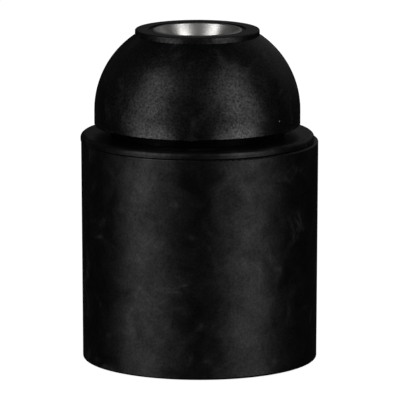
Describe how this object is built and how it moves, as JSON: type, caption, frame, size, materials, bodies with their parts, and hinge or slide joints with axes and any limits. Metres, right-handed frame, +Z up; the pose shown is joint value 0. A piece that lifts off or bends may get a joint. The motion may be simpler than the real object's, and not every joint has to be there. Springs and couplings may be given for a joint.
{
  "type": "lamp holder",
  "caption": "E27 lamp holder with a plain cylindrical skirt, a screw-on dome, a metal M10 x 1 entry bush, an inner contact block and screw terminals.",
  "frame": {"origin": "centre of the skirt's rim, on the surface that the holder stands on with its dome up", "axes": "+Z up along the skirt towards the cable entry, +X to the right and -Y towards the viewer; the live terminal is on the +X side"},
  "size_m": [0.0401, 0.04, 0.056],
  "materials": {
    "black_plastic": "moulded thermoplastic, satin black with a fine grain",
    "bush_metal": "turned and zinc-plated, smooth",
    "zinc_steel": "zinc-plated steel",
    "steatite": "pressed steatite, off-white, dull",
    "terminal_brass": "stamped brass",
    "spring_bronze": "phosphor bronze strip"
  },
  "bodies": {
    "skirt": {"skirt_sleeve": "black_plastic", "socket_body": "black_plastic"},
    "block": {"contact_block": "steatite", "live_terminal": "terminal_brass", "neutral_terminal": "terminal_brass", "live_eyelet": "terminal_brass", "neutral_eyelet": "terminal_brass"},
    "dome": {"dome_cap": "black_plastic", "entry_bush": "bush_metal"},
    "live_plate": {"live_clamp_plate": "zinc_steel"},
    "neutral_plate": {"neutral_clamp_plate": "zinc_steel"},
    "live_screw": {"live_screw": "zinc_steel"},
    "neutral_screw": {"neutral_screw": "zinc_steel"},
    "earth_plate": {"earth_washer": "zinc_steel"},
    "earth_screw": {"earth_screw": "zinc_steel"},
    "lock_screw": {"lock_screw": "zinc_steel"},
    "centre_spring": {"centre_contact": "spring_bronze"},
    "side_spring": {"side_contact": "spring_bronze"}
  },
  "joints": [
    {"name": "dome_turn", "type": "hinge", "parent": "skirt", "child": "block", "pos_m": [-0.0004, 0, 0.0452], "axis": [0, 0, 1], "range_deg": [0, 630]},
    {"name": "dome_rise", "type": "slide", "parent": "block", "child": "dome", "axis": [0, 0, 1], "range_m": [0, 0.0035]},
    {"name": "live_plate_rise", "type": "slide", "parent": "block", "child": "live_plate", "axis": [0, 0, 1], "range_m": [0, 0.0015]},
    {"name": "live_screw_turn", "type": "hinge", "parent": "live_plate", "child": "live_screw", "pos_m": [0.0071, 0, 0.0441], "axis": [0, 0, 1], "range_deg": [0, 1080]},
    {"name": "neutral_plate_rise", "type": "slide", "parent": "block", "child": "neutral_plate", "axis": [0, 0, 1], "range_m": [0, 0.0015]},
    {"name": "neutral_screw_turn", "type": "hinge", "parent": "neutral_plate", "child": "neutral_screw", "pos_m": [-0.0079, 0, 0.0441], "axis": [0, 0, 1], "range_deg": [0, 1080]},
    {"name": "earth_plate_rise", "type": "slide", "parent": "dome", "child": "earth_plate", "axis": [0, 1, 0], "range_m": [0, 0.0008]},
    {"name": "earth_screw_turn", "type": "hinge", "parent": "earth_plate", "child": "earth_screw", "pos_m": [-0.0004, 0.0081, 0.0498], "axis": [0, 1, 0], "range_deg": [0, 576]},
    {"name": "lock_screw_turn", "type": "hinge", "parent": "dome", "child": "lock_screw", "pos_m": [-0.0004, -0.007, 0.0498], "axis": [0, -1, 0], "range_deg": [-360, 0]},
    {"name": "centre_contact_flex", "type": "hinge", "parent": "block", "child": "centre_spring", "pos_m": [0.00835, 0, 0.0348], "axis": [0, 1, 0], "range_deg": [0, 8], "stiffness_Nm_per_rad": 0.05},
    {"name": "side_contact_flex", "type": "hinge", "parent": "block", "child": "side_spring", "pos_m": [-0.01125, 0, 0.0348], "axis": [0, 1, 0], "range_deg": [0, 8], "stiffness_Nm_per_rad": 0.05}
  ],
  "couplings": [
    {"joint": "dome_turn", "follows": "dome_rise", "rad_per_m": 3141.6},
    {"joint": "live_screw_turn", "follows": "live_plate_rise", "rad_per_m": 12566},
    {"joint": "neutral_screw_turn", "follows": "neutral_plate_rise", "rad_per_m": 12566},
    {"joint": "earth_screw_turn", "follows": "earth_plate_rise", "rad_per_m": 12566}
  ]
}
